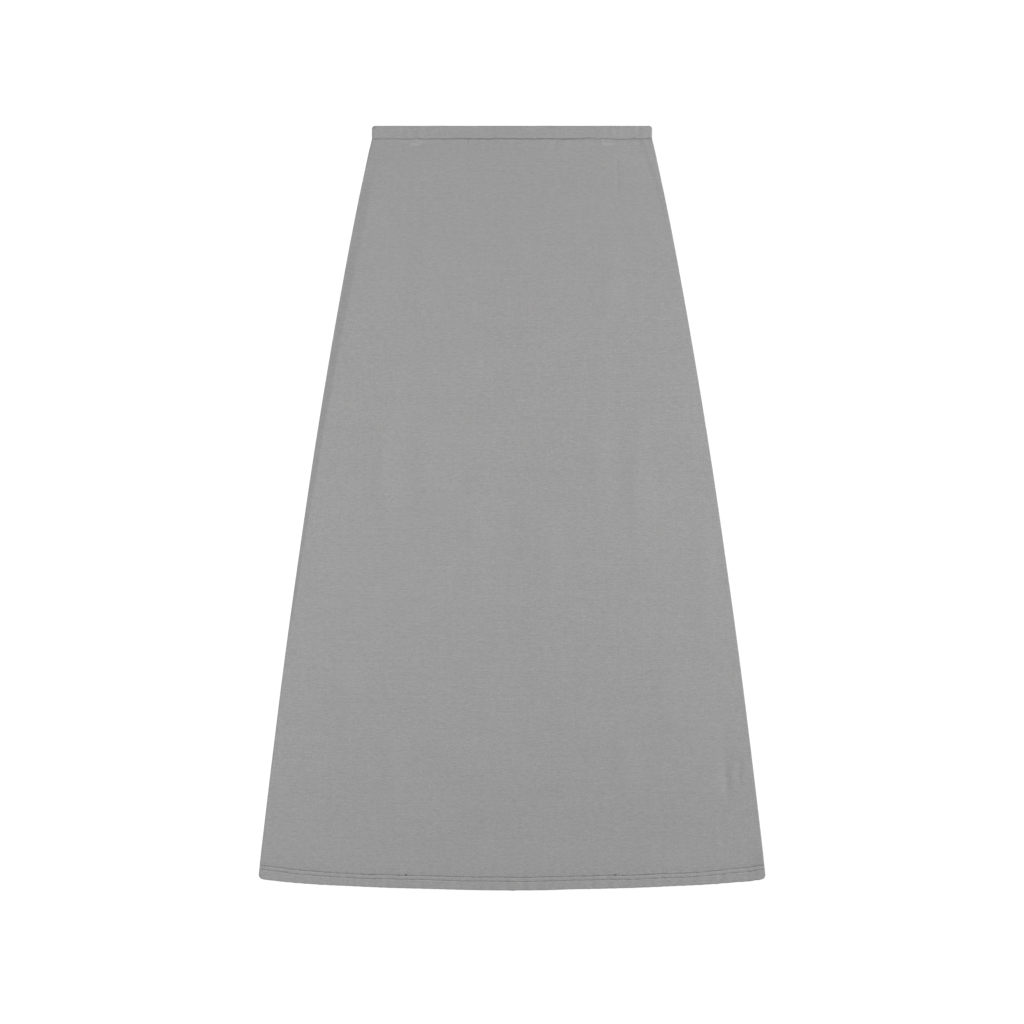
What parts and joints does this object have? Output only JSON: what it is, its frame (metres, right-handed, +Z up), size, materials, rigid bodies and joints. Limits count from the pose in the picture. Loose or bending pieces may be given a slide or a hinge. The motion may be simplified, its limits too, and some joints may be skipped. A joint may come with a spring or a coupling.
{
  "type": "knit maxi skirt",
  "caption": "Ankle-length A-line skirt in melange jersey with an elastic waistband and a twin-stitched hem, laid flat on its back.",
  "frame": {"origin": "centre of the laid-out skirt's bounding box, on the surface that it lies on", "axes": "+X across the skirt to the viewer's right, +Y from the hem to the waistband, +Z up from the back panel to the front panel"},
  "size_m": [0.6298, 0.95, 0.0055],
  "materials": {
    "jersey": "mid-grey melange single jersey, matt, with pale and dark fibres mixed in the yarn",
    "waistband": "the same mid-grey melange jersey, folded over a flat elastic"
  },
  "bodies": {
    "root": {"front_panel": "jersey", "back_panel": "jersey", "waistband": "waistband"}
  },
  "joints": []
}
